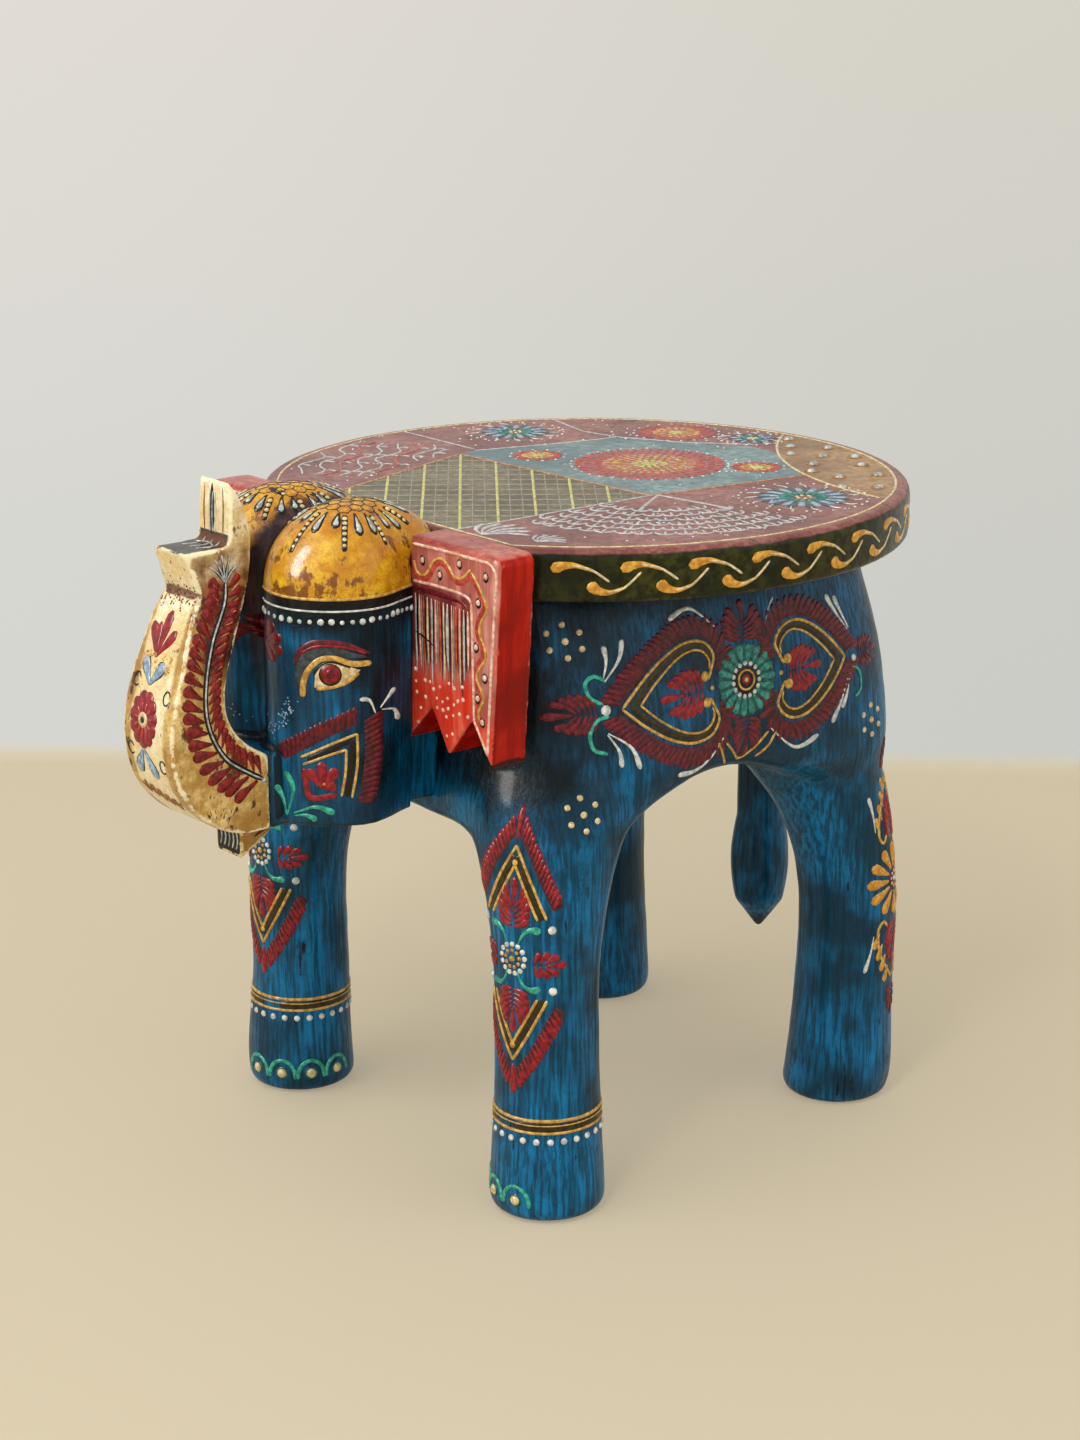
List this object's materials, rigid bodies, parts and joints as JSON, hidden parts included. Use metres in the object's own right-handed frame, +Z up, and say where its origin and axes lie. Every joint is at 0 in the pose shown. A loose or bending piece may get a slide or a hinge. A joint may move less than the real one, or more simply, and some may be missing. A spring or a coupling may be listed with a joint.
{
  "type": "carved elephant stool",
  "caption": "Low round wooden stool carved and painted as a standing elephant, with a raised trunk, board ears and a hanging tail.",
  "frame": {"origin": "on the floor, under the middle of the stool's whole length and width; the seat's centre is behind it", "axes": "+Z up; the elephant faces -Y, so +X is its own left side and +Y its rear"},
  "size_m": [0.3, 0.3956, 0.331],
  "materials": {
    "seat_paint": "painted and lacquered, gloss",
    "body_paint": "painted, rubbed back and lacquered, gloss",
    "head_paint": "painted and lacquered, gloss",
    "trunk_paint": "painted and lacquered, gloss",
    "ear_paint": "painted and lacquered, gloss",
    "bare_wood": "bare, hidden in the joints"
  },
  "bodies": {
    "root": {"seat_board": "seat_paint", "torso": "body_paint", "leg_front_left": "body_paint", "leg_front_right": "body_paint", "leg_hind_left": "body_paint", "leg_hind_right": "body_paint", "head": "head_paint", "trunk": "trunk_paint", "lower_lip": "trunk_paint", "ear_left": "ear_paint", "ear_right": "ear_paint", "tail": "body_paint", "seat_dowels": "bare_wood", "leg_dowels": "bare_wood", "head_dowels": "bare_wood", "ear_dowels": "bare_wood", "trunk_dowels": "bare_wood", "tail_dowel": "bare_wood"}
  },
  "joints": []
}
